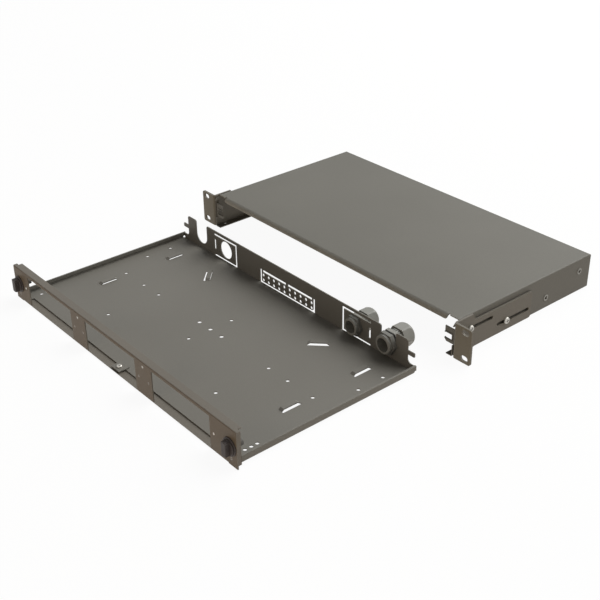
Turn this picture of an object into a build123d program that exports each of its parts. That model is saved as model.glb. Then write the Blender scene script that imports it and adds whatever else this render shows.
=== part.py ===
# Sliding fibre patch drawer, one unit high, for a 19 inch rack.
# Sizes are in mm. X runs across the rack, Y back into it and Z up.
# Y starts on the front face of the rack ears. Z starts at their lower edge while the
# pieces are made, and at the middle of the ear holes in the finished files.
import os

from build123d import *

# Rack
rack_width = 482.6
ear_reach = 26.3
ear_hole_inset = 8.75
rack_hole_pitch = 31.75
unit_height = 43.6

# Housing cover, one folded sheet
sheet = 1.2
bend_radius = 1.6
housing_front = 0.6
housing_rear = 236.5
flange_width = 9.0
flange_hole = 3.0
flange_hole_y = 13.7
top_setback = 8.5
corner_drop = 2.3
corner_cut = 3.6
rear_lip_drop = 5.6
lip_front = 5.5
lip_bend = 4.6
lip_edge = 1.0
lip_inset = 15.2
lip_corner = 3.0
relief_width = 2.2
relief_depth = 2.0

# Catch tabs, one inside each front corner
tab_reach = 13.8
tab_front = 3.0
tab_low = 13.6
tab_high = 32.7
tab_corner = 3.4
tab_notch_top = 37.0
tab_notch_depth = 3.0
window_width = 9.6
window_height = 7.4
rim_width = 0.8
rim_height = 0.8

# Press nuts and screws in the side walls
thread = 4.0
nut_body = 6.0
nut_flange = 8.0
nut_flange_height = 0.5
nut_length = 1.5
nut_clearance = 0.05
upper_nut_z = 27.6
lower_nut_z = 14.3
upper_nut_y = (24.2, 216.8)
lower_nut_y = (84.0, 157.0)

# Ear brackets
bracket_sheet = 2.5
bracket_gap = 0.55
bracket_bend = 3.5
bracket_inner_bend = 1.0
leg_length = 127.0
leg_full = 28.0
leg_slope = 4.5
leg_top = 35.4
leg_low = 1.8
leg_corner = 3.0
slot_width = 4.5
upper_slot_length = 39.0
lower_slot_rear = 123.0
lower_slot_front = 68.8
ear_hole_length = 10.0
ear_hole_height = 6.8
ear_corner = 2.8
screw_head = 8.0
screw_head_height = 2.6
screw_tip = 0.8

# Drawer travel, from fully out to shut against the ears
travel = 286.2
shut_front = -5.3

# Drawer tray
tray_gap = 0.6
tray_lift = 0.3
tray_depth = 239.4
floor_setback = 10.0
floor_end_width = 17.2
side_height = 8.35
side_setback = 8.6
side_corner = 3.0
hem_height = 3.8
rear_top = 36.8
rear_clearance = 0.6
rear_notch = 5.0
hook_height = 5.2
hook_length = 10.2
hook_clearance = 0.55
corner_hole = 1.9
tongue_width = 16.0
tongue_front = 1.5
tongue_rear = 14.5

# Cable notches and knock-outs in the rear wall, placed from the sides of the housing
notch_inset = 43.7
notch_z = 20.0
notch_width = 22.8
notch_corner = 2.5
slit = 3.2
low_slit_top = 4.2
plate_inner_inset = 117.8
plate_outer_inset = 71.1
plate_high = 33.2
plate_top_slit = 2.6
plate_slit_low = 11.5
plate_slit_high = 25.0
plate_corner = 2.0
gland_inset = 95.8
gland_z = 18.2
gland_hole = 23.0
gland_hole_fit = 0.3
centre_half = 50.7
centre_high = 20.4
middle_bridge = 3.2
corner_bridge = 1.8
port_hole = 4.1
port_columns = 10
port_pitch = 9.9
port_rows = (13.6, 6.8)

# Tie lances in the tray floor
lance_length = 24.2
lance_width = 5.5
lance_slot = 2.4
lance_rise = 2.2
lance_ramp = 3.0
lance_lap = 0.3
lance_inset = 37.9
lance_depths = (98.8, 196.2)
slant_inset = 109.6
slant_depth = 195.9

# Fixing holes in the tray floor
floor_hole = 4.2
centre_hole = 5.0
centre_hole_pitch = 21.0
centre_depths = (96.5, 156.2)
row_depth = 126.5
row_insets = (37.9, 78.0, 109.9)
front_hole_inset = 109.9
front_hole_depth = 56.9
rear_hole_inset = 17.6
rear_hole_depths = (171.0, 205.8)
corner_hole_inset = 15.2
corner_hole_depths = (22.0, 29.6, 36.9)

# Front panel
panel_sheet = 1.3
panel_overlap = 2.6
panel_height = 42.5
panel_bend = 1.3
top_flange = 9.5
end_return = 5.0
return_low = 4.0
bottom_flange = 10.5
bottom_flange_inset = 14.1
left_land = 33.8
right_land = 42.4
mullion_width = 30.4
opening_top = 39.0
fixing_hole = 3.0
mullion_hole_z = 21.3
mullion_hole_spread = 9.0
mullion_top_z = 36.5
left_hole_inset = 26.3
right_hole_inset = 36.2
oval_inset = 9.6
oval_z = 8.0
oval_length = 4.5

# Screw that joins the panel to the tray
panel_thread = 3.0
panel_screw_depth = 7.0
panel_nut_radius = 2.8
panel_screw_head = 6.0
panel_screw_height = 2.0

# Quarter turn latches
latch_inset = 8.2
latch_z = 21.5
bush_flange = 20.0
bush_height = 1.6
bush_sleeve = 9.0
bush_sleeve_length = 2.6
bush_fit = 0.05
clip_diameter = 13.0
clip_height = 1.0
knob_gap = 0.3
knob_disc = 16.8
knob_disc_height = 1.3
knob_proud = 8.0
wing_width = 7.0
wing_length = 16.4
latch_shaft = 5.0
shaft_fit = 0.1
bar_depth = 9.9
bar_length = 8.8
bar_height = 5.0
bar_thickness = 3.0
bar_thread = 2.4
bar_screw_head = 4.6
bar_screw_height = 1.6
bar_screw_length = 8.0

# Cable gland of the larger size, and the share of it that the smaller one takes
gland_thread = 22.3
gland_inside = 8.8
gland_bore = 16.4
gland_flats = 24.4
gland_flange = 5.0
gland_neck = 22.6
gland_neck_length = 5.2
spigot = 21.6
spigot_length = 9.5
seal_step = 1.3
seal_inner = 12.0
gasket_height = 1.5
locknut_flats = 24.2
locknut_height = 5.0
dome_diameter = 28.0
dome_flats = 25.0
dome_length = 18.0
dome_round = 8.0
dome_wall = 2.0
dome_gap = 0.3
dome_fit = 0.3
dome_hole = 14.4
small_gland = 0.907

# Places worked out from the sizes above
housing_width = rack_width - 2 * ear_reach
ear_hole_spacing = rack_width - 2 * ear_hole_inset
housing_half = housing_width / 2
wall_inner = housing_half - sheet
lip_half = housing_half - lip_inset
lip_back = lip_front + lip_bend
bend_low = unit_height - lip_bend
lip_low = bend_low - lip_edge
notch_x = housing_half - notch_inset
plate_inner = housing_half - plate_inner_inset
plate_outer = housing_half - plate_outer_inset
gland_x = housing_half - gland_inset
floor_low = sheet + tray_lift
floor_top = floor_low + sheet
panel_front = shut_front - travel
rear_outer = panel_front + tray_depth
rear_inner = rear_outer - sheet
tray_half = wall_inner - tray_gap
side_top = floor_low + side_height
wing_top = side_top - 0.95
tab_inner = housing_half - tab_reach
rear_half = tab_inner - rear_clearance
hook_low = wing_top + 2 * rear_notch
hook_high = hook_low + hook_height
hook_tip = rear_half + hook_length
latch_x = housing_half - latch_inset
panel_half = housing_half + panel_overlap
bottom_flange_half = panel_half - bottom_flange_inset
opening_width = (2 * panel_half - left_land - right_land - 2 * mullion_width) / 3
opening_pitch = opening_width + mullion_width
opening_shift = (left_land - right_land) / 2
leg_inner = housing_half + bracket_gap
leg_outer = leg_inner + bracket_sheet
nut_spots = [(y, upper_nut_z) for y in upper_nut_y] + [(y, lower_nut_z) for y in lower_nut_y]
both = (-1, 1)


# A plane across the drawer at one depth, and a plane along it at one side
def across(y):
    return Plane.XZ.offset(-y)


def along(x):
    return Plane.YZ.offset(x)


# A plane whose sketch looks back along Y, centred on an axis through X and Z
def axis_plane(x, y, z):
    return Plane(origin=(x, y, z), x_dir=(1, 0, 0), z_dir=(0, 1, 0))


# The straight edges along one axis that lie at the given coordinates
def edges_at(shape, axis, **places):
    found = shape.edges().filter_by(axis)
    for name, value in places.items():
        found = found.filter_by(lambda e, n=name, v=value: abs(getattr(e.center(), n) - v) < 0.01)
    return found


# A pan head screw along Z, its head standing on the XY plane and its shank below
def pan_screw(head, height, shank, length):
    with BuildPart() as screw:
        with Locations((0, 0, height / 2)):
            Cylinder(head / 2, height)
        fillet(screw.edges().filter_by(GeomType.CIRCLE).sort_by(Axis.Z)[-1], height * 0.55)
        with Locations((0, 0, -length / 2)):
            Cylinder(shank / 2, length)
        chamfer(screw.edges().filter_by(GeomType.CIRCLE).sort_by(Axis.Z)[0], shank * 0.12)
        with Locations((0, 0, height)):
            Box(head * 0.5, head * 0.12, height, mode=Mode.SUBTRACT)
            Box(head * 0.12, head * 0.5, height, mode=Mode.SUBTRACT)
    return screw.part


# Housing cover: a top, two sides and two flanges turned in under the tray
with BuildPart() as housing_cover:
    with BuildSketch(across(housing_front)):
        with Locations((0, unit_height / 2)):
            Rectangle(housing_width, unit_height)
            Rectangle(2 * wall_inner, unit_height - 2 * sheet, mode=Mode.SUBTRACT)
        with Locations((0, sheet / 2)):
            Rectangle(housing_width - 2 * flange_width, sheet, mode=Mode.SUBTRACT)
    extrude(amount=housing_front - housing_rear)
    # Rear lip, turned down between the side walls
    with Locations((0, housing_rear - sheet / 2, unit_height - rear_lip_drop / 2)):
        Box(2 * wall_inner, sheet, rear_lip_drop)
    bends = edges_at(housing_cover, Axis.X, Y=housing_rear, Z=unit_height)
    for side in both:
        bends += edges_at(housing_cover, Axis.Y, X=side * housing_half)
    fillet(bends, bend_radius)
    # Upper front corners of the side walls
    with BuildSketch(along(-housing_half)):
        with BuildLine():
            corner_z = unit_height - corner_drop
            Polyline(
                (housing_front, unit_height),
                (housing_front, corner_z - corner_cut),
                (housing_front + corner_cut, corner_z),
                (top_setback, corner_z),
                (top_setback, unit_height),
                close=True,
            )
        make_face()
    extrude(amount=housing_width, mode=Mode.SUBTRACT)
    # Front lip, turned down from the top in a wide bend, with rounded lower corners
    with Locations((0, (top_setback + lip_back) / 2, unit_height)):
        Box(2 * lip_half, lip_back - top_setback, 3 * sheet, mode=Mode.SUBTRACT)
    with BuildSketch(along(-lip_half)):
        with Locations((lip_back, bend_low)):
            Circle(lip_bend)
            Circle(lip_bend - sheet, mode=Mode.SUBTRACT)
            with Locations((-lip_bend / 2, lip_bend / 2)):
                Rectangle(lip_bend, lip_bend, mode=Mode.INTERSECT)
        with Locations((lip_front + sheet / 2, (lip_low + bend_low) / 2)):
            Rectangle(sheet, lip_edge)
    extrude(amount=2 * lip_half)
    with BuildSketch(across(lip_front)):
        with Locations(*[(s * (lip_half - lip_corner / 2), lip_low + lip_corner / 2) for s in both]):
            Rectangle(lip_corner, lip_corner)
        with Locations(*[(s * (lip_half - lip_corner), lip_low + lip_corner) for s in both]):
            Circle(lip_corner, mode=Mode.SUBTRACT)
    extrude(amount=-lip_bend, mode=Mode.SUBTRACT)
    with Locations(*[(s * (lip_half + relief_width / 2), top_setback, unit_height) for s in both]):
        Box(relief_width, 2 * relief_depth, 2 * corner_drop, mode=Mode.SUBTRACT)
    # Notches in the side walls and the catch tabs bent in from them
    notch_mid = (tab_low + tab_notch_top) / 2
    with Locations((0, (housing_front + tab_front) / 2, notch_mid)):
        Box(housing_width, tab_front - housing_front, tab_notch_top - tab_low, mode=Mode.SUBTRACT)
    with Locations((0, tab_front + tab_notch_depth / 2, (tab_high + tab_notch_top) / 2)):
        Box(housing_width, tab_notch_depth, tab_notch_top - tab_high, mode=Mode.SUBTRACT)
    with BuildSketch(across(tab_front)) as tabs:
        with Locations(*[(s * (tab_inner + tab_reach / 2), (tab_low + tab_high) / 2) for s in both]):
            Rectangle(tab_reach, tab_high - tab_low)
        corners = tabs.vertices().sort_by(lambda v: abs(v.X))[:4]
        fillet(corners.group_by(Axis.Y)[0], tab_corner)
        fillet(corners.group_by(Axis.Y)[-1], tab_corner * 0.6)
    extrude(amount=-sheet)
    with BuildSketch(across(tab_front)):
        with Locations(*[(s * latch_x, latch_z) for s in both]):
            Rectangle(window_width + 2 * rim_width, window_height + 2 * rim_width)
    extrude(amount=rim_height)
    with BuildSketch(across(tab_front - rim_height)):
        with Locations(*[(s * latch_x, latch_z) for s in both]):
            Rectangle(window_width, window_height)
        with Locations(*[(s * tab_inner, (hook_low + hook_high) / 2) for s in both]):
            Rectangle(4 * rim_width, hook_height + 2 * hook_clearance)
    extrude(amount=-(rim_height + sheet), mode=Mode.SUBTRACT)
    # Holes for the press nuts, and one small hole in each flange
    with BuildSketch(along(-housing_half)):
        with Locations(*nut_spots):
            Circle(nut_body / 2 + nut_clearance)
    extrude(amount=housing_width, mode=Mode.SUBTRACT)
    with Locations(*[(s * (wall_inner - flange_hole * 0.6), flange_hole_y, sheet / 2) for s in both]):
        Cylinder(flange_hole / 2, 2 * sheet, mode=Mode.SUBTRACT)

# Press nuts, four through each side wall with a thin flange on its outer face
with BuildPart() as right_press_nuts:
    with BuildSketch(along(wall_inner - nut_length)):
        with Locations(*nut_spots):
            Circle(nut_body / 2)
    extrude(amount=nut_length + sheet)
    with BuildSketch(along(housing_half)):
        with Locations(*nut_spots):
            Circle(nut_flange / 2)
    extrude(amount=nut_flange_height)
    with BuildSketch(along(wall_inner - nut_length)):
        with Locations(*nut_spots):
            Circle(thread / 2 + nut_clearance)
    extrude(amount=nut_length + sheet + nut_flange_height, mode=Mode.SUBTRACT)

with BuildPart() as left_press_nuts:
    mirror(right_press_nuts.part, about=Plane.YZ)

# Ear bracket: a slotted leg along the side wall and an ear across the rack rail
with BuildPart() as right_ear_bracket:
    with BuildSketch(along(leg_inner)) as leg:
        with BuildLine():
            Polyline(
                (0, 0),
                (leg_full, 0),
                (leg_full + leg_slope, leg_low),
                (leg_length, leg_low),
                (leg_length, leg_top),
                (leg_full + leg_slope, leg_top),
                (leg_full, unit_height),
                (0, unit_height),
                close=True,
            )
        make_face()
        fillet(leg.vertices().group_by(Axis.X)[-1], leg_corner)
        slot_front = upper_nut_y[0] - slot_width / 2
        with Locations((slot_front + upper_slot_length / 2, upper_nut_z)):
            SlotOverall(upper_slot_length, slot_width, mode=Mode.SUBTRACT)
        with Locations(((lower_slot_front + lower_slot_rear) / 2, lower_nut_z)):
            SlotOverall(lower_slot_rear - lower_slot_front, slot_width, mode=Mode.SUBTRACT)
    extrude(amount=bracket_sheet)
    with BuildSketch(across(0)) as ear:
        with Locations(((leg_inner + rack_width / 2) / 2, unit_height / 2)):
            Rectangle(rack_width / 2 - leg_inner, unit_height)
        fillet(ear.vertices().group_by(Axis.X)[-1], ear_corner)
        with Locations((ear_hole_spacing / 2, unit_height / 2)):
            with GridLocations(0, rack_hole_pitch, 1, 2):
                SlotOverall(ear_hole_length, ear_hole_height, mode=Mode.SUBTRACT)
    extrude(amount=-bracket_sheet)
    fillet(edges_at(right_ear_bracket, Axis.Z, X=leg_inner, Y=0), bracket_bend)
    fillet(edges_at(right_ear_bracket, Axis.Z, X=leg_outer, Y=bracket_sheet), bracket_inner_bend)

with BuildPart() as left_ear_bracket:
    mirror(right_ear_bracket.part, about=Plane.YZ)

# Bracket screws, through the front end of each slot into a press nut
bracket_screw = pan_screw(
    screw_head, screw_head_height, thread, bracket_sheet + bracket_gap + sheet + nut_length + screw_tip
)
with BuildPart() as right_bracket_screws:
    with Locations(
        Location((leg_outer, upper_nut_y[0], upper_nut_z), (0, 90, 0)),
        Location((leg_outer, lower_nut_y[0], lower_nut_z), (0, 90, 0)),
    ):
        add(bracket_screw)

with BuildPart() as left_bracket_screws:
    mirror(right_bracket_screws.part, about=Plane.YZ)

# Tie lance: a strip of the floor raised between two cuts
with BuildPart() as lance:
    with BuildSketch(along(-lance_width / 2)):
        with BuildLine():
            end = lance_length / 2
            flat = end - lance_ramp
            Polyline(
                (-end, floor_low),
                (-end, floor_top),
                (-flat, floor_top + lance_rise),
                (flat, floor_top + lance_rise),
                (end, floor_top),
                (end, floor_low),
                (flat, floor_low + lance_rise),
                (-flat, floor_low + lance_rise),
                close=True,
            )
        make_face()
    extrude(amount=lance_width)

lance_shift = (lance_width + lance_slot) / 2
lance_spots = []
for side in both:
    for depth in lance_depths:
        inward = Location((-side * lance_shift, 0, 0))
        straight = Location((side * (housing_half - lance_inset), panel_front + depth, 0))
        lance_spots.append((straight, inward))
    slant_x = side * (housing_half - slant_inset)
    slant = Location((slant_x, panel_front + slant_depth, 0), (0, 0, -side * 45))
    lance_spots.append((slant, inward))

# Fixing holes in the tray floor, most of them placed from the sides of the housing
floor_spots = [(0, panel_front + depth) for depth in centre_depths]
for side in both:
    for inset in row_insets:
        floor_spots.append((side * (housing_half - inset), panel_front + row_depth))
    front_hole_x = side * (housing_half - front_hole_inset)
    floor_spots.append((front_hole_x, panel_front + front_hole_depth))
    for depth in rear_hole_depths:
        floor_spots.append((side * (housing_half - rear_hole_inset), panel_front + depth))
    for depth in corner_hole_depths:
        floor_spots.append((side * (housing_half - corner_hole_inset), panel_front + depth))

# Drawer tray: a floor, two low hemmed sides and a high rear wall
with BuildPart() as drawer_tray:
    with BuildSketch(Plane.XY.offset(floor_low)):
        with Locations((0, (panel_front + floor_setback + rear_inner) / 2)):
            Rectangle(2 * tray_half, rear_inner - panel_front - floor_setback)
        with Locations(
            *[
                (s * (tray_half - floor_end_width / 2), panel_front + (tongue_front + floor_setback) / 2)
                for s in both
            ]
        ):
            Rectangle(floor_end_width, floor_setback - tongue_front)
        with Locations(*floor_spots):
            Circle(floor_hole / 2, mode=Mode.SUBTRACT)
        with Locations((0, panel_front + row_depth)):
            with GridLocations(centre_hole_pitch, 0, 3, 1):
                Circle(centre_hole / 2, mode=Mode.SUBTRACT)
    extrude(amount=sheet)
    # Side walls, each with its top edge folded in
    with BuildSketch(across(panel_front + side_setback)):
        with Locations(*[(s * (tray_half - sheet / 2), (floor_low + side_top) / 2) for s in both]):
            Rectangle(sheet, side_height)
        with Locations(*[(s * (tray_half - 1.5 * sheet), side_top - hem_height / 2) for s in both]):
            Rectangle(sheet, hem_height)
    extrude(amount=-(tray_depth - side_setback))
    for side in both:
        fillet(edges_at(drawer_tray, Axis.Y, X=side * tray_half, Z=side_top), sheet * 0.8)
        fillet(edges_at(drawer_tray, Axis.Y, X=side * tray_half, Z=floor_low), bend_radius)
    # Rear wall with its prongs, cable notches and knock-outs
    with BuildSketch(across(rear_inner)) as rear:
        with Locations((0, (floor_low + wing_top) / 2)):
            Rectangle(2 * tray_half, wing_top - floor_low)
        with Locations((0, (floor_low + rear_top) / 2)):
            Rectangle(2 * rear_half, rear_top - floor_low)
        with Locations(*[(s * (rear_half + rear_notch / 2), wing_top + rear_notch / 2) for s in both]):
            Rectangle(rear_notch, rear_notch)
        with Locations(*[(s * (rear_half + rear_notch), wing_top + rear_notch) for s in both]):
            Circle(rear_notch, mode=Mode.SUBTRACT)
        with Locations(*[(s * (rear_half + hook_length / 2), (hook_low + hook_high) / 2) for s in both]):
            Rectangle(hook_length, hook_height)
        tips = rear.vertices().filter_by(lambda v: abs(abs(v.X) - hook_tip) < 0.01)
        fillet(tips, hook_height * 0.2)
        ends = rear.vertices().filter_by(lambda v: abs(abs(v.X) - tray_half) < 0.01)
        fillet(ends.group_by(Axis.Y)[-1], 2 * sheet)
        fillet(rear.vertices().group_by(Axis.Y)[0], bend_radius)
        with Locations(*[(s * notch_x, notch_z) for s in both]):
            Circle(notch_width / 2, mode=Mode.SUBTRACT)
        with Locations(*[(s * notch_x, (notch_z + rear_top) / 2) for s in both]):
            Rectangle(notch_width, rear_top - notch_z, mode=Mode.SUBTRACT)
        fillet(rear.vertices().group_by(Axis.Y)[-1], notch_corner)
        for side in both:
            # The slits round each knock-out plate, the low ones cut through the bend
            middle = side * (plate_inner + plate_outer) / 2
            width = plate_outer - plate_inner
            with Locations((middle, plate_high - plate_top_slit / 2)):
                Rectangle(width, plate_top_slit, mode=Mode.SUBTRACT)
            with Locations((middle, low_slit_top / 2)):
                Rectangle(width, low_slit_top, mode=Mode.SUBTRACT)
            with Locations((side * (plate_inner + slit / 2), plate_high / 2)):
                Rectangle(slit, plate_high, mode=Mode.SUBTRACT)
            with Locations((side * (plate_outer - slit / 2), (plate_slit_low + plate_slit_high) / 2)):
                Rectangle(slit, plate_slit_high - plate_slit_low, mode=Mode.SUBTRACT)
            with Locations((side * (centre_half - slit / 2), centre_high / 2)):
                Rectangle(slit, centre_high, mode=Mode.SUBTRACT)
            top_start = middle_bridge / 2
            top_end = centre_half - slit - corner_bridge
            with Locations((side * (top_start + top_end) / 2, centre_high - slit / 2)):
                Rectangle(top_end - top_start, slit, mode=Mode.SUBTRACT)
        with Locations((0, low_slit_top / 2)):
            Rectangle(2 * centre_half, low_slit_top, mode=Mode.SUBTRACT)
        loose = rear.vertices().filter_by(lambda v: abs(v.Y - low_slit_top) < 0.01)
        fillet(loose.filter_by(lambda v: abs(abs(v.X) - centre_half + slit) < 0.01), plate_corner)
        fillet(loose.filter_by(lambda v: abs(abs(v.X) - plate_inner - slit) < 0.01), plate_corner)
        # One open hole, and a smaller one for the gland
        with Locations((-gland_x, gland_z)):
            Circle(gland_hole / 2, mode=Mode.SUBTRACT)
        with Locations((gland_x, gland_z)):
            Circle(small_gland * gland_thread / 2 + gland_hole_fit, mode=Mode.SUBTRACT)
        for row in port_rows:
            with Locations((0, row)):
                with GridLocations(port_pitch, 0, port_columns, 1):
                    Circle(port_hole / 2, mode=Mode.SUBTRACT)
    extrude(amount=-sheet)
    # Small relief holes where floor, side and rear meet
    with Locations(*[(s * (tray_half - sheet), rear_inner, floor_top) for s in both]):
        Sphere(corner_hole, mode=Mode.SUBTRACT)
    # Tongue that laps the floor and takes the panel screw
    with Locations((0, panel_front + (tongue_front + tongue_rear) / 2, floor_top + sheet / 2)):
        Box(tongue_width, tongue_rear - tongue_front, sheet)
    with Locations((0, panel_front + panel_screw_depth, floor_top + sheet / 2)):
        Cylinder(panel_thread / 2 + nut_clearance, 2 * sheet, mode=Mode.SUBTRACT)
    # Tie lances
    for spot, inward in lance_spots:
        with Locations(spot * inward):
            with Locations((0, 0, floor_low)):
                Box(lance_width, lance_length - 2 * lance_lap, 3 * sheet, mode=Mode.SUBTRACT)
        with Locations(spot):
            with Locations((0, 0, floor_low)):
                Box(lance_slot, lance_length, 3 * sheet, mode=Mode.SUBTRACT)
        with Locations(spot * inward):
            add(lance.part)

# Front panel: a plate with flanges along the top and bottom and returned ends
with BuildPart() as front_panel:
    with BuildSketch(across(panel_front)):
        with Locations((0, panel_height / 2)):
            Rectangle(2 * panel_half, panel_height)
    extrude(amount=-panel_sheet)
    with Locations((0, panel_front + top_flange / 2, panel_height - panel_sheet / 2)):
        Box(2 * panel_half, top_flange, panel_sheet)
    return_mid = (return_low + panel_height) / 2
    with Locations(
        *[(s * (panel_half - panel_sheet / 2), panel_front + end_return / 2, return_mid) for s in both]
    ):
        Box(panel_sheet, end_return, panel_height - return_low)
    # The flange is cut back at its ends, which clear the ears and side walls when shut
    with Locations(*[(s * panel_half, panel_front + top_flange, panel_height) for s in both]):
        flange_cut = 2 * (panel_half - tray_half)
        Box(flange_cut, 2 * (top_flange - end_return), 2 * panel_sheet, mode=Mode.SUBTRACT)
    fillet(edges_at(front_panel, Axis.X, Y=panel_front, Z=panel_height), panel_bend)
    with Locations((0, panel_front + bottom_flange / 2, panel_sheet / 2)):
        Box(2 * bottom_flange_half, bottom_flange, panel_sheet)
    with BuildSketch(along(-bottom_flange_half)):
        with Locations((panel_front + panel_bend / 2, panel_bend / 2)):
            Rectangle(panel_bend, panel_bend)
        with Locations((panel_front + panel_bend, panel_bend)):
            Circle(panel_bend, mode=Mode.SUBTRACT)
    extrude(amount=2 * bottom_flange_half, mode=Mode.SUBTRACT)
    # Adapter openings, fixing holes and latch holes
    openings = [opening_shift + n * opening_pitch for n in (-1, 0, 1)]
    mullions = [opening_shift + n * opening_pitch for n in (-0.5, 0.5)]
    with BuildSketch(across(panel_front)):
        with Locations(*[(x, (panel_sheet + opening_top) / 2) for x in openings]):
            Rectangle(opening_width, opening_top - panel_sheet)
        for middle in mullions:
            with Locations((middle, mullion_top_z)):
                Circle(fixing_hole / 2)
            with Locations(*[(middle + s * mullion_hole_spread, mullion_hole_z) for s in both]):
                Circle(fixing_hole / 2)
        with Locations((left_hole_inset - panel_half, latch_z), (panel_half - right_hole_inset, latch_z)):
            Circle(fixing_hole / 2)
        with Locations(*[(s * (panel_half - oval_inset), oval_z) for s in both]):
            SlotOverall(oval_length, fixing_hole, rotation=90)
        with Locations(*[(s * latch_x, latch_z) for s in both]):
            Circle(bush_sleeve / 2 + bush_fit)
    extrude(amount=-panel_sheet, mode=Mode.SUBTRACT)
    with Locations((0, panel_front + panel_screw_depth, panel_sheet / 2)):
        Cylinder(panel_thread / 2 + nut_clearance, 2 * panel_sheet, mode=Mode.SUBTRACT)

# Press nut on the bottom flange and the screw that draws the tongue onto it
with BuildPart() as panel_press_nut:
    with BuildSketch(Plane.XY.offset(panel_sheet)):
        with Locations((0, panel_front + panel_screw_depth)):
            Circle(panel_nut_radius)
            Circle(panel_thread / 2 + nut_clearance, mode=Mode.SUBTRACT)
    extrude(amount=floor_top - panel_sheet)

panel_fixing = pan_screw(
    panel_screw_head, panel_screw_height, panel_thread, floor_top + sheet - panel_sheet / 2
)
with BuildPart() as panel_screw:
    with Locations((0, panel_front + panel_screw_depth, floor_top + sheet)):
        add(panel_fixing)

# Latch bush: a flange on the face of the panel and a sleeve through it
latch_face = axis_plane(latch_x, panel_front, latch_z)
with BuildPart() as right_latch_bush:
    with BuildSketch(latch_face.offset(-bush_height)):
        Circle(bush_flange / 2)
    extrude(amount=bush_height)
    fillet(right_latch_bush.edges().group_by(Axis.Y)[0], bush_height * 0.4)
    with BuildSketch(latch_face):
        Circle(bush_sleeve / 2)
    extrude(amount=panel_sheet + bush_sleeve_length)
    with BuildSketch(latch_face.offset(-bush_height)):
        Circle(latch_shaft / 2 + shaft_fit)
    extrude(amount=bush_height + panel_sheet + bush_sleeve_length, mode=Mode.SUBTRACT)

# Clip that holds the bush from behind the panel
with BuildPart() as right_latch_clip:
    with BuildSketch(latch_face.offset(panel_sheet)):
        Circle(clip_diameter / 2)
        Circle(bush_sleeve / 2 + bush_fit, mode=Mode.SUBTRACT)
        with Locations((0, clip_diameter / 2)):
            Rectangle(bush_sleeve * 0.6, clip_diameter, mode=Mode.SUBTRACT)
    extrude(amount=clip_height)

# Latch knob: a disc with a wing grip, and the shaft that carries the bar
disc_rear = -(bush_height + knob_gap)
disc_front = disc_rear - knob_disc_height
with BuildPart() as right_latch_knob:
    with BuildSketch(latch_face.offset(disc_front)):
        Circle(knob_disc / 2)
    extrude(amount=knob_disc_height)
    fillet(right_latch_knob.edges().group_by(Axis.Y)[0], knob_disc_height * 0.5)
    with BuildSketch(latch_face.offset(-knob_proud)):
        Circle(wing_length / 2)
        with Locations(*[(s * (wing_width + wing_length) / 2, 0) for s in both]):
            Rectangle(wing_length, wing_length, mode=Mode.SUBTRACT)
    extrude(amount=knob_proud + disc_front, taper=-2)
    fillet(right_latch_knob.edges().group_by(Axis.Y)[0], knob_disc_height * 0.6)
    with BuildSketch(latch_face.offset(disc_rear)):
        Circle(latch_shaft / 2)
    extrude(amount=bar_depth - disc_rear)
    with BuildSketch(latch_face.offset(bar_depth)):
        Circle(bar_thread / 2 + nut_clearance)
    extrude(amount=-bar_screw_length, mode=Mode.SUBTRACT)

# Locking bar on the end of the shaft, level at rest so that it passes the tab window
with BuildPart() as right_latch_bar:
    with BuildSketch(latch_face.offset(bar_depth)):
        Circle(bar_length / 2)
        with Locations(*[(0, s * (bar_height + bar_length) / 2) for s in both]):
            Rectangle(bar_length, bar_length, mode=Mode.SUBTRACT)
        Circle(bar_thread / 2 + nut_clearance, mode=Mode.SUBTRACT)
    extrude(amount=bar_thickness)

bar_fixing = pan_screw(bar_screw_head, bar_screw_height, bar_thread, bar_screw_length)
with BuildPart() as right_latch_screw:
    with Locations(
        Location((latch_x, panel_front + bar_depth + bar_thickness, latch_z), (-90, 0, 0))
    ):
        add(bar_fixing)

with BuildPart() as left_latch_bush:
    mirror(right_latch_bush.part, about=Plane.YZ)

with BuildPart() as left_latch_clip:
    mirror(right_latch_clip.part, about=Plane.YZ)

with BuildPart() as left_latch_knob:
    mirror(right_latch_knob.part, about=Plane.YZ)

with BuildPart() as left_latch_bar:
    mirror(right_latch_bar.part, about=Plane.YZ)

with BuildPart() as left_latch_screw:
    mirror(right_latch_screw.part, about=Plane.YZ)

# The pieces of a cable gland of a given share, built back from the wall's outer face
gland_face = axis_plane(0, 0, 0)
neck_front = gasket_height + gland_flange
neck_rear = neck_front + gland_neck_length
spigot_rear = neck_rear + spigot_length
seal_front = neck_rear + spigot_length / 2


def gland_body(share):
    inside = share * gland_inside + sheet
    with BuildPart() as body:
        with BuildSketch(gland_face.offset(-inside)):
            Circle(share * gland_thread / 2)
        extrude(amount=inside + share * gasket_height)
        chamfer(body.edges().group_by(Axis.Y)[0], share)
        with BuildSketch(gland_face.offset(share * gasket_height)):
            RegularPolygon(share * gland_flats / 2, 6, major_radius=False)
        extrude(amount=share * gland_flange)
        chamfer(body.edges().group_by(Axis.Y)[-1], 0.3 * share)
        with BuildSketch(gland_face.offset(share * neck_front)):
            Circle(share * gland_neck / 2)
        extrude(amount=share * gland_neck_length)
        with BuildSketch(gland_face.offset(share * neck_rear)):
            Circle(share * spigot / 2)
        extrude(amount=share * spigot_length)
        with BuildSketch(gland_face.offset(-inside)):
            Circle(share * gland_bore / 2)
        extrude(amount=inside + share * spigot_rear, mode=Mode.SUBTRACT)
        with BuildSketch(gland_face.offset(share * seal_front)):
            Circle(share * (gland_bore / 2 + seal_step))
        extrude(amount=share * (spigot_rear - seal_front), mode=Mode.SUBTRACT)
    return body.part


def gland_gasket(share):
    with BuildPart() as gasket:
        with BuildSketch(gland_face):
            Circle(share * gland_flats / 2)
            Circle(share * gland_thread / 2 + nut_clearance, mode=Mode.SUBTRACT)
        extrude(amount=share * gasket_height)
    return gasket.part


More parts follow.
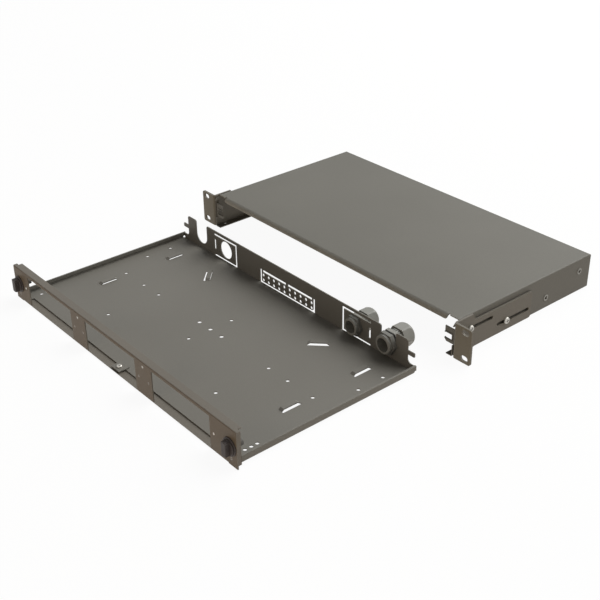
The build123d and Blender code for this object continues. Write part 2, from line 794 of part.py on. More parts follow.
def gland_locknut(share):
    with BuildPart() as locknut:
        with BuildSketch(gland_face.offset(-sheet - share * locknut_height)):
            RegularPolygon(share * locknut_flats / 2, 6, major_radius=False)
        extrude(amount=share * locknut_height)
        chamfer(locknut.edges().group_by(Axis.Y)[0], 0.3 * share)
        with BuildSketch(gland_face.offset(-sheet - share * locknut_height)):
            Circle(share * gland_thread / 2 + nut_clearance)
        extrude(amount=share * locknut_height, mode=Mode.SUBTRACT)
    return locknut.part


def gland_seal(share):
    seal_rear = share * (neck_rear + dome_length - dome_wall)
    with BuildPart() as seal:
        with BuildSketch(gland_face.offset(share * seal_front)):
            Circle(share * (gland_bore / 2 + seal_step) - nut_clearance)
            Circle(share * seal_inner / 2, mode=Mode.SUBTRACT)
        extrude(amount=seal_rear - share * seal_front)
    return seal.part


# The dome nut is a six sided cap with a rounded end that closes on the seal
def gland_dome(share):
    start = share * neck_rear + dome_gap
    length = share * dome_length
    with BuildPart() as dome:
        with BuildSketch(gland_face.offset(start)):
            Circle(share * dome_diameter / 2)
        extrude(amount=length)
        fillet(dome.edges().group_by(Axis.Y)[-1], share * dome_round)
        with BuildSketch(gland_face.offset(start)):
            RegularPolygon(share * dome_flats / 2, 6, major_radius=False)
        extrude(amount=length, mode=Mode.INTERSECT)
        with BuildSketch(gland_face.offset(start)):
            Circle(share * spigot / 2 + dome_fit)
        extrude(amount=share * spigot_length, mode=Mode.SUBTRACT)
        with BuildSketch(gland_face.offset(start)):
            Circle(share * (gland_bore / 2 + seal_step) + dome_fit)
        extrude(amount=length - share * dome_wall, mode=Mode.SUBTRACT)
        with BuildSketch(gland_face.offset(start)):
            Circle(share * dome_hole / 2)
        extrude(amount=length, mode=Mode.SUBTRACT)
    return dome.part


# The smaller gland, in the right knock-out hole
knockout_spot = (gland_x, rear_outer, gland_z)
with BuildPart() as knockout_gland_body:
    with Locations(knockout_spot):
        add(gland_body(small_gland))

with BuildPart() as knockout_gland_gasket:
    with Locations(knockout_spot):
        add(gland_gasket(small_gland))

with BuildPart() as knockout_gland_locknut:
    with Locations(knockout_spot):
        add(gland_locknut(small_gland))

with BuildPart() as knockout_gland_seal:
    with Locations(knockout_spot):
        add(gland_seal(small_gland))

with BuildPart() as knockout_gland_dome:
    with Locations(knockout_spot):
        add(gland_dome(small_gland))

# The larger gland, in the right cable notch
notch_spot = (notch_x, rear_outer, notch_z)
with BuildPart() as notch_gland_body:
    with Locations(notch_spot):
        add(gland_body(1))

with BuildPart() as notch_gland_gasket:
    with Locations(notch_spot):
        add(gland_gasket(1))

with BuildPart() as notch_gland_locknut:
    with Locations(notch_spot):
        add(gland_locknut(1))

with BuildPart() as notch_gland_seal:
    with Locations(notch_spot):
        add(gland_seal(1))

with BuildPart() as notch_gland_dome:
    with Locations(notch_spot):
        add(gland_dome(1))

# One file for each piece, set down about the centre of the rack ear holes
os.makedirs("parts", exist_ok=True)
pieces = {
    "housing_cover": housing_cover,
    "left_press_nuts": left_press_nuts,
    "right_press_nuts": right_press_nuts,
    "left_ear_bracket": left_ear_bracket,
    "right_ear_bracket": right_ear_bracket,
    "left_bracket_screws": left_bracket_screws,
    "right_bracket_screws": right_bracket_screws,
    "drawer_tray": drawer_tray,
    "front_panel": front_panel,
    "panel_press_nut": panel_press_nut,
    "panel_screw": panel_screw,
    "left_latch_bush": left_latch_bush,
    "left_latch_clip": left_latch_clip,
    "left_latch_knob": left_latch_knob,
    "left_latch_bar": left_latch_bar,
    "left_latch_screw": left_latch_screw,
    "right_latch_bush": right_latch_bush,
    "right_latch_clip": right_latch_clip,
    "right_latch_knob": right_latch_knob,
    "right_latch_bar": right_latch_bar,
    "right_latch_screw": right_latch_screw,
    "knockout_gland_body": knockout_gland_body,
    "knockout_gland_gasket": knockout_gland_gasket,
    "knockout_gland_locknut": knockout_gland_locknut,
    "knockout_gland_seal": knockout_gland_seal,
    "knockout_gland_dome": knockout_gland_dome,
    "notch_gland_body": notch_gland_body,
    "notch_gland_gasket": notch_gland_gasket,
    "notch_gland_locknut": notch_gland_locknut,
    "notch_gland_seal": notch_gland_seal,
    "notch_gland_dome": notch_gland_dome,
}
for name, piece in pieces.items():
    placed = piece.part.moved(Location((0, 0, -unit_height / 2)))
    placed.label = name
    export_step(placed, f"parts/{name}.step")
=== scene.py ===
import math

import bmesh
import bpy
from mathutils import Matrix, Vector


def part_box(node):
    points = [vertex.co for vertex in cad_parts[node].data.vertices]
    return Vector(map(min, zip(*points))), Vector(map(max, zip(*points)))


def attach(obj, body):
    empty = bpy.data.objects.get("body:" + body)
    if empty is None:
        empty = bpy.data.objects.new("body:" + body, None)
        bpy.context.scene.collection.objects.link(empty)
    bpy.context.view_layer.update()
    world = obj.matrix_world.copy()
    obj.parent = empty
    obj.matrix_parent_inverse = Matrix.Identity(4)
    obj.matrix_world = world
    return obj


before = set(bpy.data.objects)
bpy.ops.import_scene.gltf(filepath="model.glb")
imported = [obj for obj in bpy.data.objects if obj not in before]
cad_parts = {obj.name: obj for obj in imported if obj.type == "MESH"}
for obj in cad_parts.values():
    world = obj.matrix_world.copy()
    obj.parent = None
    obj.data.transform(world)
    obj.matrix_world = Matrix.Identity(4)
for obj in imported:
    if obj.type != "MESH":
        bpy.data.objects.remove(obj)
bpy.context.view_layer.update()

mm = 0.001
baseHeight = -21.8 * mm   # the underside of the housing, where the floor lies


# Camera, at the photograph's viewing angle
cameraValues = {
    "location": (0.867169, -0.751573, 0.616933),
    "forward": (-0.66737815, 0.5528592, -0.49895201),
    "right": (0.64350213, 0.76533903, -0.01269568),
    "lens": 64.91,
    "sensor": 36.0,
    "clipStart": 0.01,
}


def makeCamera(values):
    data = bpy.data.cameras.new("photoCamera")
    data.lens = values["lens"]
    data.sensor_width = values["sensor"]
    data.clip_start = values["clipStart"]
    camera = bpy.data.objects.new("photoCamera", data)
    bpy.context.scene.collection.objects.link(camera)
    forward = Vector(values["forward"]).normalized()
    right = Vector(values["right"]).normalized()
    up = right.cross(forward).normalized()
    right = forward.cross(up).normalized()
    turned = Matrix((right, up, -forward)).transposed().to_4x4()
    camera.matrix_world = Matrix.Translation(values["location"]) @ turned
    bpy.context.scene.camera = camera


makeCamera(cameraValues)
bpy.context.scene.view_settings.view_transform = "Standard"
print("camera set")


# Small helpers for node trees
def addNode(tree, kind, place, inputs=None, **settings):
    # settings are the node's own options; an input is linked where it is given a socket
    node = tree.nodes.new(kind)
    node.location = place
    for name, value in settings.items():
        setattr(node, name, value)
    for label, value in (inputs or {}).items():
        if isinstance(value, bpy.types.NodeSocket):
            tree.links.new(value, node.inputs[label])
        else:
            node.inputs[label].default_value = value
    return node


def addMath(tree, operation, place, *terms):
    node = addNode(tree, "ShaderNodeMath", place, dict(enumerate(terms)), operation=operation)
    return node.outputs["Value"]


def newMaterial(name):
    material = bpy.data.materials.new(name)
    material.use_nodes = True
    material.node_tree.nodes.clear()
    return material, material.node_tree


# Floor, backdrop and light
stageValues = {
    "floorSize": 12.0,
    "floorGap": 0.2,          # mm, keeps the floor just clear of the housing's underside
    "floorColor": (0.95, 0.95, 0.945),
    "floorShadow": 0.06,      # how much of the floor's own shading the camera sees
    "bounceColor": (0.95, 0.83, 0.71),   # what the floor throws back on the object
    "bounceStrength": 0.93,
    "bounceEven": 0.7,        # share of that bounce that comes evenly from the whole floor
    "worldColor": (1.0, 0.99, 0.97),
    "worldStrength": 0.11,
    "keyColor": (1.0, 0.995, 0.975),
    "keySize": 5.1,
    "keyPower": 252.0,
    "keyPlace": (0.45, 2.8, 2.9),
    "fillColor": (1.0, 0.80, 0.62),
    "fillSize": 1.2,
    "fillPower": 5.0,
    "fillPlace": (0.3, -1.8, 0.5),
}


def addSeenRays(tree, place):
    # 1 for camera, glossy and transmission rays, which all see the plain white surroundings
    x, y = place
    rays = addNode(tree, "ShaderNodeLightPath", place).outputs
    shiny = addMath(tree, "MAXIMUM", (x + 200, y), rays["Is Camera Ray"], rays["Is Glossy Ray"])
    return addMath(tree, "MAXIMUM", (x + 400, y), shiny, rays["Is Transmission Ray"])


def makeFloor(values):
    half = values["floorSize"] / 2
    height = baseHeight - values["floorGap"] * mm
    corners = [(-half, -half), (half, -half), (half, half), (-half, half)]
    mesh = bpy.data.meshes.new("studioFloor")
    mesh.from_pydata([(x, y, height) for x, y in corners], [], [(0, 1, 2, 3)])
    floor = bpy.data.objects.new("studioFloor", mesh)
    bpy.context.scene.collection.objects.link(floor)
    material, tree = newMaterial("studioFloor")
    bounceColor = (*values["bounceColor"], 1)
    # what is seen: a white floor that keeps a little of its shading and shadow
    matt = addNode(tree, "ShaderNodeBsdfDiffuse", (-200, 0), {"Color": (*values["floorColor"], 1)})
    white = addNode(tree, "ShaderNodeEmission", (-200, -200))
    shown = addNode(tree, "ShaderNodeMixShader", (0, -100), {
        "Fac": 1.0 - values["floorShadow"], 1: matt.outputs["BSDF"], 2: white.outputs["Emission"]})
    # what lights the object: the floor's warm bounce, partly even, as if lit from all around
    lit = addNode(tree, "ShaderNodeBsdfDiffuse", (-200, -400), {"Color": bounceColor})
    even = addNode(tree, "ShaderNodeEmission", (-200, -600), {
        "Color": bounceColor, "Strength": values["bounceStrength"]})
    bounce = addNode(tree, "ShaderNodeMixShader", (0, -400), {
        "Fac": values["bounceEven"], 1: lit.outputs["BSDF"], 2: even.outputs["Emission"]})
    mix = addNode(tree, "ShaderNodeMixShader", (200, 0), {
        "Fac": addSeenRays(tree, (-600, 300)), 1: bounce.outputs["Shader"], 2: shown.outputs["Shader"]})
    addNode(tree, "ShaderNodeOutputMaterial", (400, 0), {"Surface": mix.outputs["Shader"]})
    mesh.materials.append(material)


def makeWorld(values):
    world = bpy.data.worlds.new("studioWorld")
    bpy.context.scene.world = world
    world.use_nodes = True
    tree = world.node_tree
    tree.nodes.clear()
    light = addNode(tree, "ShaderNodeBackground", (-200, 0), {
        "Color": (*values["worldColor"], 1), "Strength": values["worldStrength"]})
    seen = addNode(tree, "ShaderNodeBackground", (-200, -200), {
        "Color": (1, 1, 1, 1), "Strength": 1.0})   # plain white
    mix = addNode(tree, "ShaderNodeMixShader", (0, 0), {
        "Fac": addSeenRays(tree, (-700, 300)), 1: light.outputs["Background"], 2: seen.outputs["Background"]})
    addNode(tree, "ShaderNodeOutputWorld", (200, 0), {"Surface": mix.outputs["Shader"]})


def addAreaLight(name, values):
    data = bpy.data.lights.new(name + "Light", "AREA")
    data.shape = "DISK"
    data.size = values[name + "Size"]
    data.energy = values[name + "Power"]
    data.color = values[name + "Color"]
    lamp = bpy.data.objects.new(name + "Light", data)
    lamp.location = values[name + "Place"]
    lamp.rotation_euler = (-lamp.location).to_track_quat("-Z", "Y").to_euler()   # aimed at the origin
    bpy.context.scene.collection.objects.link(lamp)


makeFloor(stageValues)
makeWorld(stageValues)
addAreaLight("key", stageValues)
addAreaLight("fill", stageValues)
print("stage and lights made")


# Shared effects: node groups that each finish places with its own values
def makeGroup(name, inputs, outputs):
    group = bpy.data.node_groups.new(name, "ShaderNodeTree")
    for label, kind, value in inputs:
        socket = group.interface.new_socket(label, in_out="INPUT", socket_type=kind)
        socket.default_value = value
    for label, kind in outputs:
        group.interface.new_socket(label, in_out="OUTPUT", socket_type=kind)
    given = addNode(group, "NodeGroupInput", (-900, 0)).outputs
    coords = addNode(group, "ShaderNodeTexCoord", (-900, -300)).outputs
    return group, given, coords


def closeGroup(group, results):
    addNode(group, "NodeGroupOutput", (700, 0), results)
    return group


def addNoise(group, place, coords, scale, detail):
    noise = addNode(group, "ShaderNodeTexNoise", place, {
        "Vector": coords["Object"], "Scale": scale, "Detail": detail})
    return noise.outputs["Fac"]


def addRange(group, place, value, limits):
    return addNode(group, "ShaderNodeMapRange", place, {"Value": value, **limits}).outputs["Result"]


def addColorMix(tree, place, factor, first, second):
    mix = addNode(tree, "ShaderNodeMix", place, {"Factor": factor, "A": first, "B": second}, data_type="RGBA")
    return mix.outputs["Result"]


def addBump(group, place, height, depth, strength):
    bump = addNode(group, "ShaderNodeBump", place, {
        "Height": height, "Distance": depth * mm, "Strength": strength})
    return bump.outputs["Normal"]


surfaceOutputs = [
    ("Color", "NodeSocketColor"), ("Roughness", "NodeSocketFloat"), ("Normal", "NodeSocketVector"),
]

powderValues = {
    "grainDetail": 3.0,
    "cloudDetail": 2.0,
    "cloudRange": {"From Min": 0.35, "From Max": 0.65},
    "cloudShare": 0.35,
    "fleckRange": {"From Min": 0.4, "From Max": 0.72, "To Max": 0.55},
    "roughSpread": 0.16,
    "bumpDepth": 0.2,   # mm
}


def buildPowderCoat(values):
    # fine orange peel of a powder coat, with slow changes of tone and a few pale flecks
    group, given, coords = makeGroup(
        "powderCoat",
        [
            ("Paint", "NodeSocketColor", (0.2, 0.2, 0.2, 1)),
            ("Light Paint", "NodeSocketColor", (0.25, 0.25, 0.25, 1)),
            ("Grain Scale", "NodeSocketFloat", 900.0),
            ("Cloud Scale", "NodeSocketFloat", 6.0),
            ("Roughness", "NodeSocketFloat", 0.5),
            ("Bump", "NodeSocketFloat", 0.2),
        ],
        surfaceOutputs,
    )
    grain = addNoise(group, (-600, -300), coords, given["Grain Scale"], values["grainDetail"])
    cloud = addNoise(group, (-600, 100), coords, given["Cloud Scale"], values["cloudDetail"])
    tone = addRange(group, (-350, 100), cloud, values["cloudRange"])
    fleck = addRange(group, (-350, -150), grain, values["fleckRange"])
    both = addMath(group, "MULTIPLY_ADD", (-150, 0), tone, values["cloudShare"], fleck)
    return closeGroup(group, {
        "Color": addColorMix(group, (80, 100), both, given["Paint"], given["Light Paint"]),
        "Roughness": addMath(
            group, "MULTIPLY_ADD", (80, -100), grain, values["roughSpread"], given["Roughness"]),
        "Normal": addBump(group, (80, -300), grain, values["bumpDepth"], given["Bump"]),
    })


metalValues = {
    "detail": 4.0,
    "roughSpread": 0.25,
    "bumpDepth": 0.1,   # mm
    "bump": 0.2,
}


def buildPlatedMetal(values):
    # plated metal: cloudy tone, duller patches and a slight unevenness
    group, given, coords = makeGroup(
        "platedMetal",
        [
            ("Metal", "NodeSocketColor", (0.6, 0.58, 0.54, 1)),
            ("Dull Metal", "NodeSocketColor", (0.4, 0.38, 0.34, 1)),
            ("Scale", "NodeSocketFloat", 400.0),
            ("Roughness", "NodeSocketFloat", 0.25),
        ],
        surfaceOutputs,
    )
    noise = addNoise(group, (-600, 0), coords, given["Scale"], values["detail"])
    return closeGroup(group, {
        "Color": addColorMix(group, (0, 100), noise, given["Metal"], given["Dull Metal"]),
        "Roughness": addMath(
            group, "MULTIPLY_ADD", (0, -100), noise, values["roughSpread"], given["Roughness"]),
        "Normal": addBump(group, (0, -300), noise, values["bumpDepth"], values["bump"]),
    })


plasticValues = {
    "grainDetail": 2.0,
    "scuffDetail": 6.0,
    "scuffRange": {"From Min": 0.52, "From Max": 0.75, "To Max": 0.6},
    "roughSpread": 0.2,
    "bumpDepth": 0.1,   # mm
}


def buildMouldedPlastic(values):
    # spark eroded mould texture, slow tone changes and faint scuffs
    group, given, coords = makeGroup(
        "mouldedPlastic",
        [
            ("Plastic", "NodeSocketColor", (0.2, 0.2, 0.2, 1)),
            ("Scuff", "NodeSocketColor", (0.3, 0.3, 0.3, 1)),
            ("Grain Scale", "NodeSocketFloat", 1500.0),
            ("Scuff Scale", "NodeSocketFloat", 90.0),
            ("Roughness", "NodeSocketFloat", 0.4),
            ("Bump", "NodeSocketFloat", 0.15),
        ],
        surfaceOutputs,
    )
    grain = addNoise(group, (-600, -300), coords, given["Grain Scale"], values["grainDetail"])
    scuff = addNoise(group, (-600, 100), coords, given["Scuff Scale"], values["scuffDetail"])
    scuffed = addRange(group, (-300, 100), scuff, values["scuffRange"])
    return closeGroup(group, {
        "Color": addColorMix(group, (0, 100), scuffed, given["Plastic"], given["Scuff"]),
        "Roughness": addMath(
            group, "MULTIPLY_ADD", (0, -100), scuff, values["roughSpread"], given["Roughness"]),
        "Normal": addBump(group, (0, -300), grain, values["bumpDepth"], given["Bump"]),
    })


edgeValues = {
    "bevelSamples": 6,
    "edgeRange": {"From Min": 0.995, "From Max": 0.85},
    "patchDetail": 5.0,
    "patchRange": {"From Min": 0.3, "From Max": 0.6},
}


def buildEdgeWearAndHighlight(values):
    # where an edge or bend turns away from the flat, the paint is lighter in patches: partly rubbed thin,
    # partly a painted highlight along edges and bends
    group, given, coords = makeGroup(
        "edgeWearAndHighlight",
        [
            ("Radius", "NodeSocketFloat", 0.0006),
            ("Patch Scale", "NodeSocketFloat", 120.0),
            ("Amount", "NodeSocketFloat", 0.5),
        ],
        [("Mask", "NodeSocketFloat")],
    )
    surface = addNode(group, "ShaderNodeNewGeometry", (-900, 200))
    bevel = addNode(
        group, "ShaderNodeBevel", (-700, 0), {"Radius": given["Radius"]}, samples=values["bevelSamples"])
    same = addNode(group, "ShaderNodeVectorMath", (-500, 100), {
        0: surface.outputs["True Normal"], 1: bevel.outputs["Normal"]}, operation="DOT_PRODUCT")
    edge = addRange(group, (-300, 100), same.outputs["Value"], values["edgeRange"])
    patch = addNoise(group, (-600, -300), coords, given["Patch Scale"], values["patchDetail"])
    spots = addRange(group, (-300, -200), patch, values["patchRange"])
    part = addMath(group, "MULTIPLY", (-100, 0), edge, spots)
    return closeGroup(group, {"Mask": addMath(group, "MULTIPLY", (200, 0), part, given["Amount"])})


# painted light on front faces: how far a face must turn to the front, and its patches
frontLightValues = {
    "turnedRange": {"From Min": -0.3, "From Max": -0.9},   # how far a face turns to the front
    "patchDetail": 4.0,
    "patchRange": {"From Min": 0.2, "From Max": 0.5, "To Min": 0.7},
}


def buildFrontFaceLight(values):
    # painted light: a lighter or warmer tone, in patches, on faces turned to the front above a height,
    # standing in for the light that falls on them from the front
    group, given, coords = makeGroup(
        "frontFaceLight",
        [
            ("Height", "NodeSocketFloat", 0.0),
            ("Blend", "NodeSocketFloat", 0.001),
            ("Patch Scale", "NodeSocketFloat", 40.0),
            ("Amount", "NodeSocketFloat", 0.5),
        ],
        [("Mask", "NodeSocketFloat")],
    )
    facing = addNode(group, "ShaderNodeSeparateXYZ", (-700, 200), {"Vector": coords["Normal"]})
    turned = addRange(group, (-500, 200), facing.outputs["Y"], values["turnedRange"])
    place = addNode(group, "ShaderNodeSeparateXYZ", (-700, 0), {"Vector": coords["Object"]})
    over = addMath(group, "SUBTRACT", (-500, 0), place.outputs["Z"], given["Height"])
    above = addRange(group, (-300, 0), over, {"From Max": given["Blend"]})
    patch = addNoise(group, (-600, -300), coords, given["Patch Scale"], values["patchDetail"])
    spots = addRange(group, (-300, -300), patch, values["patchRange"])
    part = addMath(group, "MULTIPLY", (-100, 100), turned, above)
    patched = addMath(group, "MULTIPLY", (100, 0), part, spots)
    return closeGroup(group, {"Mask": addMath(group, "MULTIPLY", (300, 0), patched, given["Amount"])})


effects = {
    "edgeWearAndHighlight": buildEdgeWearAndHighlight(edgeValues),
    "frontFaceLight": buildFrontFaceLight(frontLightValues),
    "powderCoat": buildPowderCoat(powderValues),
    "platedMetal": buildPlatedMetal(metalValues),
    "mouldedPlastic": buildMouldedPlastic(plasticValues),
}
print("shared effects built")


# Finishes of this drawer
edgeRubAndHighlight = {"Worn": (0.30, 0.29, 0.26), "Radius": 0.0005, "Amount": 0.45}   # the same on every painted sheet: rubbed paint and painted highlight on edges and bends
lipHeight = 0.0148    # the cover's front lip starts here; its painted light lies above this height
anyHeight = -1.0      # below every piece, so that all its front faces count

finishValues = {
    "coverPaint": {
        "effect": "powderCoat", "metallic": 0.0, "specular": 0.3,
        "inputs": {"Paint": (0.116, 0.112, 0.096), "Light Paint": (0.147, 0.142, 0.123),
                   "Roughness": 0.46, "Bump": 0.18},
        "wearAndLight": {
            # painted light: the front lip is painted much lighter, standing in for the light from the white
            # floor in front
            "frontFaceLight": {"Worn": (0.27, 0.26, 0.225), "Height": lipHeight, "Blend": 0.001, "Amount": 1.0},
            "edgeWearAndHighlight": edgeRubAndHighlight,
        },
    },
    "trayPaint": {
        "effect": "powderCoat", "metallic": 0.0, "specular": 0.3,
        "inputs": {"Paint": (0.143, 0.137, 0.120), "Light Paint": (0.175, 0.169, 0.150),
                   "Roughness": 0.46, "Bump": 0.18},
        "wearAndLight": {"edgeWearAndHighlight": edgeRubAndHighlight},
    },
    "panelPaint": {
        "effect": "powderCoat", "metallic": 0.0, "specular": 0.3,
        "inputs": {"Paint": (0.133, 0.120, 0.100), "Light Paint": (0.163, 0.148, 0.125),
                   "Roughness": 0.44, "Bump": 0.18},
        "wearAndLight": {
            # painted light: every front face is painted a darker, warmer brown, standing in for warm light
            # from the front
            "frontFaceLight": {"Worn": (0.117, 0.090, 0.059), "Height": anyHeight, "Blend": 0.001, "Amount": 1.0},
            "edgeWearAndHighlight": edgeRubAndHighlight,
        },
    },
    "bracketPaint": {
        "effect": "powderCoat", "metallic": 0.0, "specular": 0.3,
        "inputs": {"Paint": (0.124, 0.113, 0.093), "Light Paint": (0.154, 0.142, 0.118),
                   "Roughness": 0.44, "Bump": 0.18},
        "wearAndLight": {
            # painted light: the ears' front faces are painted a warmer tone, standing in for warm light from
            # the front
            "frontFaceLight": {"Worn": (0.156, 0.141, 0.105), "Height": anyHeight, "Blend": 0.001, "Amount": 1.0},
            "edgeWearAndHighlight": edgeRubAndHighlight,
        },
    },
    "blackSteel": {
        "effect": "platedMetal", "metallic": 0.6, "specular": 0.4,
        "inputs": {"Metal": (0.10, 0.095, 0.085), "Dull Metal": (0.07, 0.066, 0.06), "Roughness": 0.35},
    },
    "zincPlate": {
        "effect": "platedMetal", "metallic": 0.9, "specular": 0.5,
        "inputs": {"Metal": (0.56, 0.545, 0.505), "Dull Metal": (0.42, 0.405, 0.37), "Roughness": 0.24},
    },
    # painted shade: the eyelets' plated zinc painted darker and duller, for the eyelets that catch no glint
    "shadedZinc": {
        "effect": "platedMetal", "metallic": 0.85, "specular": 0.4,
        "inputs": {"Metal": (0.27, 0.245, 0.215), "Dull Metal": (0.2, 0.18, 0.16), "Roughness": 0.38},
    },
    "dullZinc": {
        "effect": "platedMetal", "metallic": 0.85, "specular": 0.4,
        "inputs": {"Metal": (0.30, 0.29, 0.26), "Dull Metal": (0.2, 0.19, 0.17), "Roughness": 0.35},
    },
    "latchPlastic": {
        "effect": "mouldedPlastic", "metallic": 0.0, "specular": 0.4,
        "inputs": {"Plastic": (0.042, 0.033, 0.030), "Scuff": (0.062, 0.050, 0.046), "Roughness": 0.45},
    },
    "glandNylon": {
        "effect": "mouldedPlastic", "metallic": 0.0, "specular": 0.4,
        "inputs": {"Plastic": (0.245, 0.245, 0.225), "Scuff": (0.285, 0.285, 0.262), "Roughness": 0.4},
    },
    # painted shade: the gland's own nylon painted dark, for the ribs in the neck between the flange and the
    # dome nut
    "shadedGlandNylon": {
        "effect": "mouldedPlastic", "metallic": 0.0, "specular": 0.4,
        "inputs": {"Plastic": (0.060, 0.060, 0.054), "Scuff": (0.085, 0.085, 0.076), "Roughness": 0.45},
    },
    # painted shade: the gland's own nylon painted darker, for the locknuts and thread ridges that sit in
    # shade inside the tray
    "shadedLocknutNylon": {
        "effect": "mouldedPlastic", "metallic": 0.0, "specular": 0.35,
        "inputs": {"Plastic": (0.155, 0.155, 0.142), "Scuff": (0.19, 0.19, 0.175), "Roughness": 0.45},
    },
    "sealRubber": {
        "effect": "mouldedPlastic", "metallic": 0.0, "specular": 0.3,
        "inputs": {"Plastic": (0.022, 0.022, 0.021), "Scuff": (0.035, 0.034, 0.033), "Roughness": 0.7},
    },
}


def fullColor(value):
    # a colour gets its fourth value, a plain number stays as it is
    return (*value, 1) if isinstance(value, tuple) else value


def makeFinish(name, values):
    material, tree = newMaterial(name)
    inputs = {label: fullColor(value) for label, value in values["inputs"].items()}
    effect = addNode(tree, "ShaderNodeGroup", (0, 0), inputs, node_tree=effects[values["effect"]])
    color = effect.outputs["Color"]
    # each mask mixes in its colour: rubbed paint, painted light on front faces, and painted highlight on
    # edges and bends
    for order, (kind, wornAndLit) in enumerate(values.get("wearAndLight", {}).items(), 1):
        spread = {label: value for label, value in wornAndLit.items() if label != "Worn"}
        mask = addNode(tree, "ShaderNodeGroup", (0, 300 * order), spread, node_tree=effects[kind])
        color = addColorMix(tree, (150, 300 * order), mask.outputs["Mask"], color, fullColor(wornAndLit["Worn"]))
    shader = addNode(tree, "ShaderNodeBsdfPrincipled", (300, 0), {
        "Base Color": color,
        "Roughness": effect.outputs["Roughness"],
        "Normal": effect.outputs["Normal"],
        "Metallic": values["metallic"],
        "Specular IOR Level": values["specular"],
    })
    addNode(tree, "ShaderNodeOutputMaterial", (600, 0), {"Surface": shader.outputs["BSDF"]})
    return material


finishes = {name: makeFinish(name, values) for name, values in finishValues.items()}

nodeFinish = {
    "housing_cover": "coverPaint",
    "drawer_tray": "trayPaint",
    "front_panel": "panelPaint",
}
endings = {
    "_ear_bracket": "bracketPaint",
    "_press_nuts": "dullZinc",
    "_latch_bush": "latchPlastic",
    "_latch_knob": "latchPlastic",
    "_latch_clip": "blackSteel",
    "_latch_bar": "blackSteel",
    "_latch_screw": "blackSteel",
    "_gland_body": "glandNylon",
    "_gland_locknut": "shadedLocknutNylon",
    "_gland_dome": "glandNylon",
    "_gland_gasket": "sealRubber",
    "_gland_seal": "sealRubber",
}
otherFinish = "zincPlate"   # screws and the panel's press nut


def finishOf(name):
    byEnding = next((finish for ending, finish in endings.items() if name.endswith(ending)), otherFinish)
    return finishes[nodeFinish.get(name, byEnding)]


for name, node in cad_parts.items():
    for slot in node.material_slots:
        slot.material = finishOf(name)
print("finishes given to the CAD pieces")


# Helpers for the repeated pieces: a node tree makes them, and a plain mesh is kept
treeValues = {
    "ringSides": 72,      # around a whole ring
    "ridgeSides": 10,     # around the ring's own section
    "ribSides": 10,
    "mergeDistance": 0.000001,   # m
}
alongY = (math.pi / 2, 0, 0)   # turns a ring or bar from Z to Y
roundRing = (1, 1, 1)          # a ring's stretch along X, Y and Z


def newGeometryTree(name, inputs):
    tree = bpy.data.node_groups.new(name, "GeometryNodeTree")
    for label, kind in inputs:
        tree.interface.new_socket(label, in_out="INPUT", socket_type=kind)
    tree.interface.new_socket("Geometry", in_out="OUTPUT", socket_type="NodeSocketGeometry")
    return tree, addNode(tree, "NodeGroupInput", (-900, 0)).outputs


def closeGeometryTree(tree, given, instances):
    # every tree ends in real geometry that carries its finish
    real = addNode(tree, "GeometryNodeRealizeInstances", (500, 0), {"Geometry": instances})
    coat = addNode(tree, "GeometryNodeSetMaterial", (700, 0), {
        "Geometry": real.outputs["Geometry"], "Material": given["Finish"]})
    addNode(tree, "NodeGroupOutput", (900, 0), {"Geometry": coat.outputs["Geometry"]})
    return tree


def addRib(tree, given):
    return addNode(tree, "GeometryNodeMeshCylinder", (-600, 100), {
        "Vertices": treeValues["ribSides"], "Radius": given["Rib Radius"], "Depth": given["Rib Length"],
    }).outputs["Mesh"]


def bakeTree(name, tree, values, finish):
    holder = bpy.data.objects.new(name + "Holder", bpy.data.meshes.new(name + "Holder"))
    bpy.context.scene.collection.objects.link(holder)
    modifier = holder.modifiers.new(name, "NODES")
    modifier.node_group = tree
    for socket in tree.interface.items_tree:
        if socket.in_out == "INPUT":
            modifier[socket.identifier] = finish if socket.name == "Finish" else values[socket.name]
    ready = holder.evaluated_get(bpy.context.evaluated_depsgraph_get())
    mesh = bpy.data.meshes.new_from_object(ready)
    holder.modifiers.remove(modifier)
    bpy.data.objects.remove(holder)
    return mesh


def joinMeshes(name, meshes, smooth):
    # one piece from several baked meshes, its doubles merged and its faces turned outwards
    shape = bmesh.new()
    for mesh in meshes:
        shape.from_mesh(mesh)
    bmesh.ops.remove_doubles(shape, verts=shape.verts, dist=treeValues["mergeDistance"])
    bmesh.ops.recalc_face_normals(shape, faces=shape.faces)
    for face in shape.faces:
        face.smooth = smooth
    mesh = bpy.data.meshes.new(name)
    shape.to_mesh(mesh)
    shape.free()
    for material in meshes[0].materials:
        mesh.materials.append(material)
    piece = bpy.data.objects.new(name, mesh)
    bpy.context.scene.collection.objects.link(piece)
    return piece


def ringStackTree():
    # rings around Y at even steps: thread ridges one behind another, or eyelets side by side
    tree, given = newGeometryTree("ringStack", [
        ("Start", "NodeSocketVector"), ("Ring Radius", "NodeSocketFloat"),
        ("Ridge Radius", "NodeSocketFloat"), ("Pitch", "NodeSocketVector"),
        ("Stretch", "NodeSocketVector"), ("Count", "NodeSocketInt"),
        ("Finish", "NodeSocketMaterial")])
    ring = addNode(tree, "GeometryNodeCurvePrimitiveCircle", (-600, 100), {
        "Resolution": treeValues["ringSides"], "Radius": given["Ring Radius"]})
    ridge = addNode(tree, "GeometryNodeCurvePrimitiveCircle", (-600, -100), {
        "Resolution": treeValues["ridgeSides"], "Radius": given["Ridge Radius"]})
    tube = addNode(tree, "GeometryNodeCurveToMesh", (-400, 0), {
        "Curve": ring.outputs["Curve"], "Profile Curve": ridge.outputs["Curve"]})
    stand = addNode(tree, "GeometryNodeTransform", (-200, 0), {
        "Geometry": tube.outputs["Mesh"], "Rotation": alongY})
    line = addNode(tree, "GeometryNodeMeshLine", (-200, -300), {
        "Count": given["Count"], "Start Location": given["Start"], "Offset": given["Pitch"]},
        mode="OFFSET")
    spread = addNode(tree, "GeometryNodeInstanceOnPoints", (200, 0), {
        "Points": line.outputs["Mesh"], "Instance": stand.outputs["Geometry"],
        "Scale": given["Stretch"]})
    return closeGeometryTree(tree, given, spread.outputs["Instances"])


